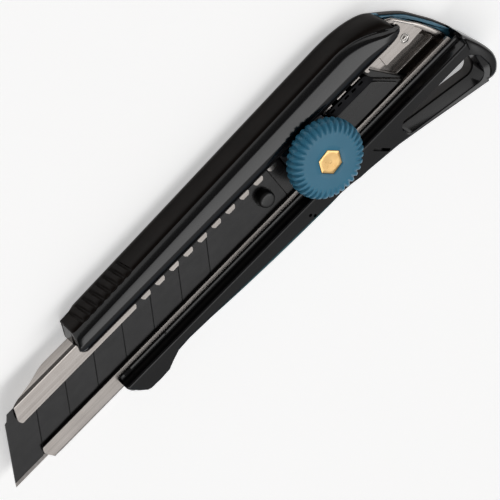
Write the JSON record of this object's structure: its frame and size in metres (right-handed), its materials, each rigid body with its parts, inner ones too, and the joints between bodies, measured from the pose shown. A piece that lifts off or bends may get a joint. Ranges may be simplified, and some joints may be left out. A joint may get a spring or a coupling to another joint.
{
  "type": "utility knife",
  "caption": "Snap-off utility knife: coated segmented blade in a folded steel channel, ribbed dial lock, two-rail handle with a tail loop.",
  "frame": {"origin": "on the flat resting face of the back, under the blade's centre line and its heel with the blade one segment out", "axes": "+X from the blade's tip to the tail, +Y towards the spine, +Z out of the dial side"},
  "size_m": [0.1645, 0.041, 0.015],
  "materials": {
    "shell": "satin moulded",
    "pad": "fine grain",
    "rail": "glossy moulded",
    "grip": "matte soft skin",
    "soft_teal": "matte soft strip",
    "steel": "rolled and folded",
    "rivet": "bright",
    "screw": "zinc plated",
    "slider": "fine grain",
    "spring": "blackened",
    "blade": "black coated, bare bevel",
    "stud": "satin",
    "washer": "zinc plated",
    "dial": "satin moulded, ribbed",
    "brass": "turned",
    "plate": "zinc plated"
  },
  "bodies": {
    "handle": {"back_shell": "shell", "back_pad": "pad", "spine_rail": "rail", "spine_grip": "grip", "lower_rail": "rail", "belly_grip": "soft_teal", "blade_channel": "steel", "channel_rivets": "rivet", "tab_rivet": "rivet", "shell_screws": "screw"},
    "slider": {"slider_carriage": "slider", "slider_cap": "slider", "detent_spring": "spring", "blade": "blade", "blade_stud": "stud", "pressure_washer": "washer", "wave_washer": "washer"},
    "dial": {"dial_knob": "dial", "dial_screw": "brass", "retaining_ring": "spring"},
    "clamp": {"clamp_plate": "plate"}
  },
  "joints": [
    {"name": "blade_slide", "type": "slide", "parent": "handle", "child": "slider", "axis": [-1, 0, 0], "range_m": [-0.0115, 0.055]},
    {"name": "dial_turn", "type": "hinge", "parent": "slider", "child": "dial", "pos_m": [0.0123, 0, 0.011], "axis": [0, 0, 1], "range_deg": [0, 360]},
    {"name": "clamp_travel", "type": "slide", "parent": "slider", "child": "clamp", "axis": [0, 0, -1], "range_m": [0, 0.0008]}
  ],
  "couplings": [
    {"joint": "dial_turn", "follows": "clamp_travel", "rad_per_m": 7853.9}
  ]
}
